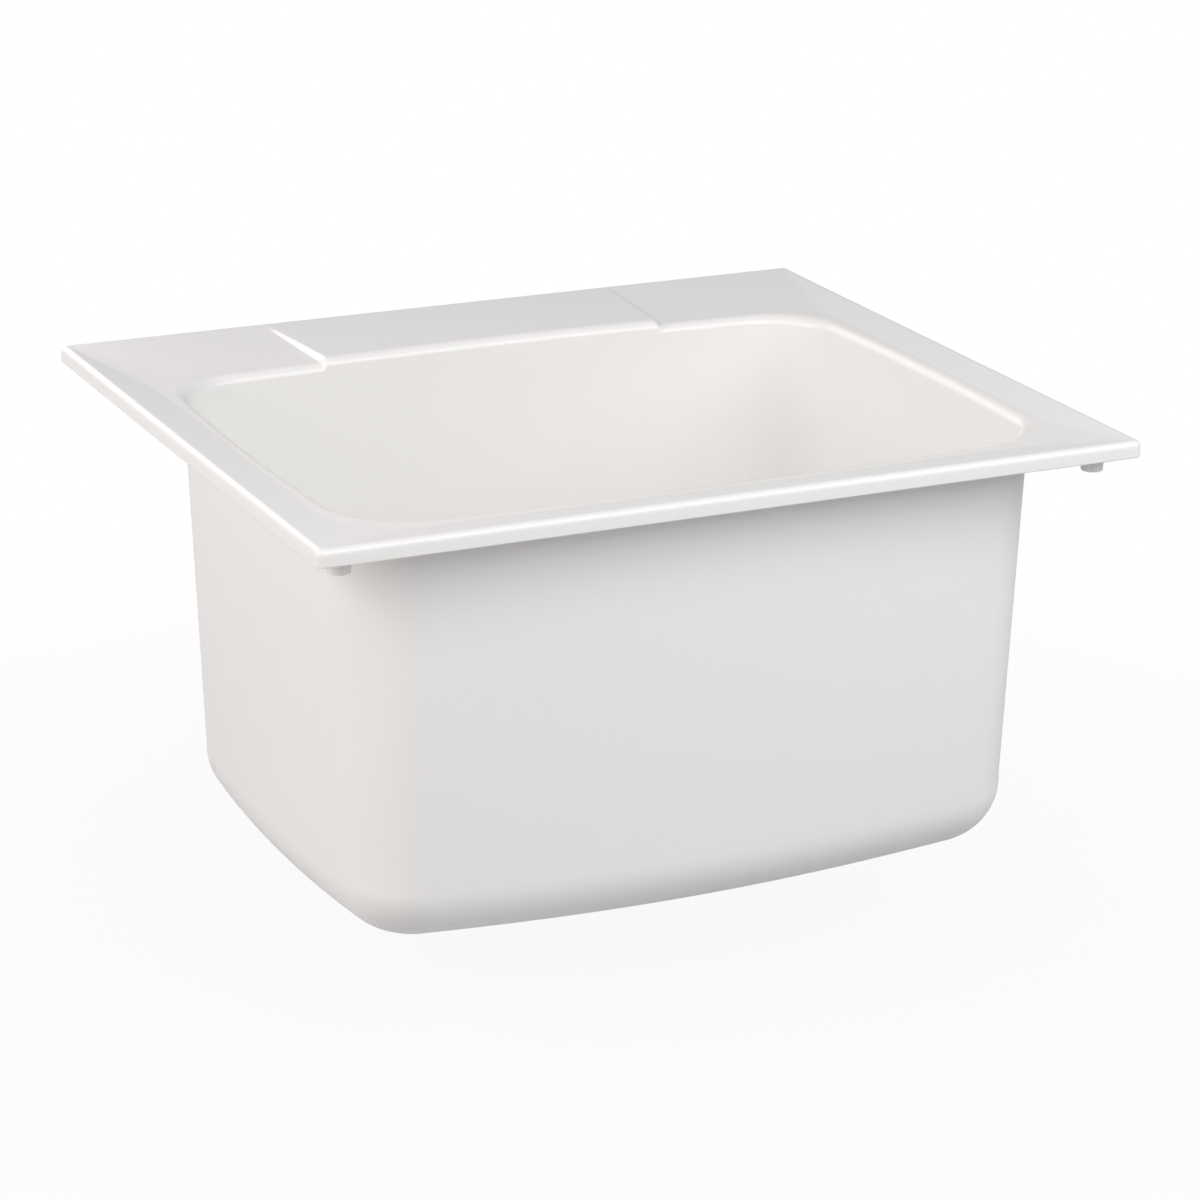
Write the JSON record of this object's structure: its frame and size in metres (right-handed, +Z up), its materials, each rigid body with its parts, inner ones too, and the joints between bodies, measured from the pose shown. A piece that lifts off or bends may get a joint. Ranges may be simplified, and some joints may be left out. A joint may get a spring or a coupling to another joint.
{
  "type": "self-rimming utility sink",
  "caption": "Deep one-bowl utility sink with a self-rimming skirted ledge, an undrilled tap deck and a basket strainer drain.",
  "frame": {"origin": "middle of the rim, on the plane of the worktop that its skirt rests on", "axes": "+X along the long side to the right, +Y back towards the tap deck, +Z up"},
  "size_m": [0.635, 0.5588, 0.4123],
  "materials": {
    "tub_plastic": "moulded white, gloss, faintly warm",
    "insert_brass": "turned and knurled",
    "gasket_rubber": "matt black",
    "seal_rubber": "satin black",
    "strainer_steel": "spun stainless",
    "ring_fibre": "brown pressed fibre",
    "locknut_zinc": "die-cast zinc, dull",
    "washer_plastic": "natural polyethylene",
    "tailpiece_chrome": "bright plated",
    "slip_nut_chrome": "bright plated, cast under",
    "basket_steel": "pressed stainless",
    "stem_steel": "turned stainless",
    "knob_plastic": "satin black"
  },
  "bodies": {
    "sink": {"tub": "tub_plastic", "insert_front_left": "insert_brass", "insert_front_right": "insert_brass", "insert_back_left": "insert_brass", "insert_back_right": "insert_brass", "flange_gasket": "gasket_rubber", "strainer_body": "strainer_steel", "under_gasket": "gasket_rubber", "friction_ring": "ring_fibre", "locknut": "locknut_zinc", "tailpiece_washer": "washer_plastic", "tailpiece": "tailpiece_chrome", "slip_nut": "slip_nut_chrome"},
    "basket": {"basket_cup": "basket_steel", "basket_seal": "seal_rubber", "basket_washer": "basket_steel", "basket_stem": "stem_steel", "basket_knob": "knob_plastic"}
  },
  "joints": [
    {"name": "basket_lift", "type": "slide", "parent": "sink", "child": "basket", "axis": [0, 0, 1], "range_m": [0, 0.4]}
  ]
}
